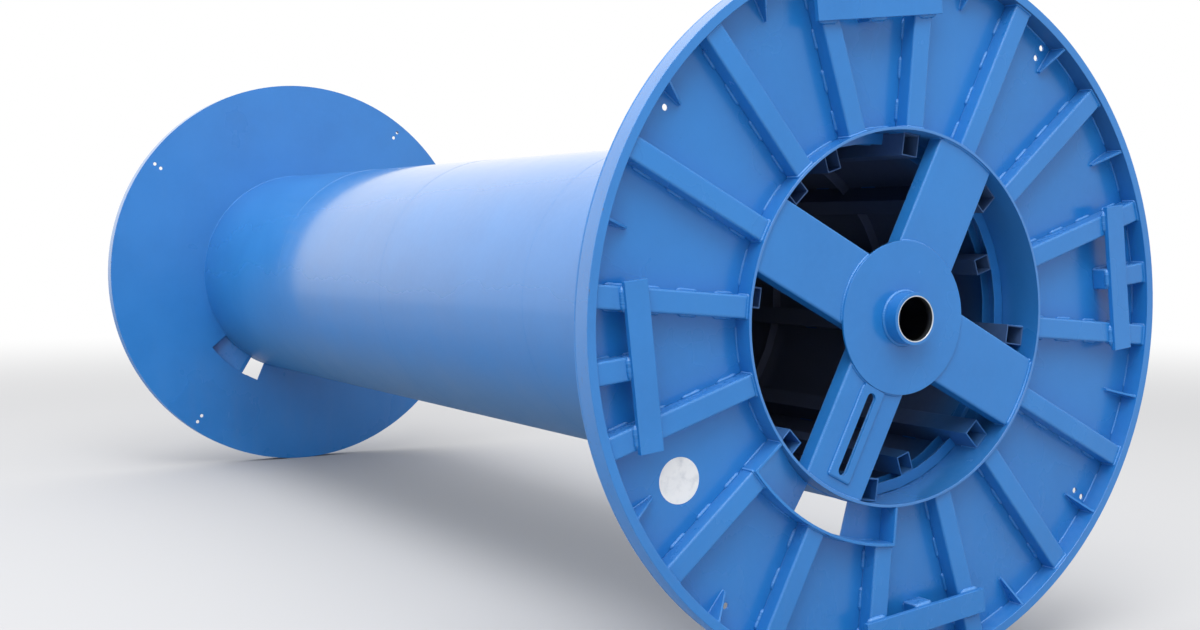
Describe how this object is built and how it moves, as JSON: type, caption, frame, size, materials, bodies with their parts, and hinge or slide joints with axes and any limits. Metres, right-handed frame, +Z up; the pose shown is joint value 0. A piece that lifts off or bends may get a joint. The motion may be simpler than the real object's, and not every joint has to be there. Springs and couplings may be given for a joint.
{
  "type": "steel cable drum",
  "caption": "Long welded steel cable drum: a plain barrel between two round flanges with radial ribs, open hub arms and bored hub tubes for a spindle.",
  "frame": {"origin": "on the floor under the middle of the drum's axis", "axes": "+Y along the drum's axis towards the rear end, +Z up, +X to the right as seen from the front end"},
  "size_m": [2.5, 6.2, 2.4998],
  "materials": {
    "azure_paint": "semi-gloss azure paint over welded steel plate"
  },
  "bodies": {
    "root": {"barrel": "azure_paint", "front_arm_1": "azure_paint", "front_arm_2": "azure_paint", "front_arm_3": "azure_paint", "front_arm_4": "azure_paint", "front_bar_1": "azure_paint", "front_bar_2": "azure_paint", "front_bar_3": "azure_paint", "front_bar_4": "azure_paint", "front_disc": "azure_paint", "front_end_ring": "azure_paint", "front_flat_rings": "azure_paint", "front_gussets": "azure_paint", "front_hub_plate": "azure_paint", "front_hub_tube": "azure_paint", "front_pocket_wall": "azure_paint", "front_ramp": "azure_paint", "front_ribs": "azure_paint", "front_rim": "azure_paint", "front_short_ribs": "azure_paint", "front_slot_plate": "azure_paint", "inner_tube_1": "azure_paint", "inner_tube_2": "azure_paint", "inner_tube_3": "azure_paint", "inner_tube_4": "azure_paint", "outer_tube_1": "azure_paint", "outer_tube_2": "azure_paint", "outer_tube_3": "azure_paint", "outer_tube_4": "azure_paint", "outer_tube_5": "azure_paint", "outer_tube_6": "azure_paint", "outer_tube_7": "azure_paint", "outer_tube_8": "azure_paint", "rear_arm_1": "azure_paint", "rear_arm_2": "azure_paint", "rear_arm_3": "azure_paint", "rear_arm_4": "azure_paint", "rear_bar_1": "azure_paint", "rear_bar_2": "azure_paint", "rear_bar_3": "azure_paint", "rear_bar_4": "azure_paint", "rear_disc": "azure_paint", "rear_end_ring": "azure_paint", "rear_flat_rings": "azure_paint", "rear_gussets": "azure_paint", "rear_hub_plate": "azure_paint", "rear_hub_tube": "azure_paint", "rear_pocket_wall": "azure_paint", "rear_ramp": "azure_paint", "rear_ribs": "azure_paint", "rear_rim": "azure_paint", "rear_short_ribs": "azure_paint", "rear_slot_plate": "azure_paint"}
  },
  "joints": []
}
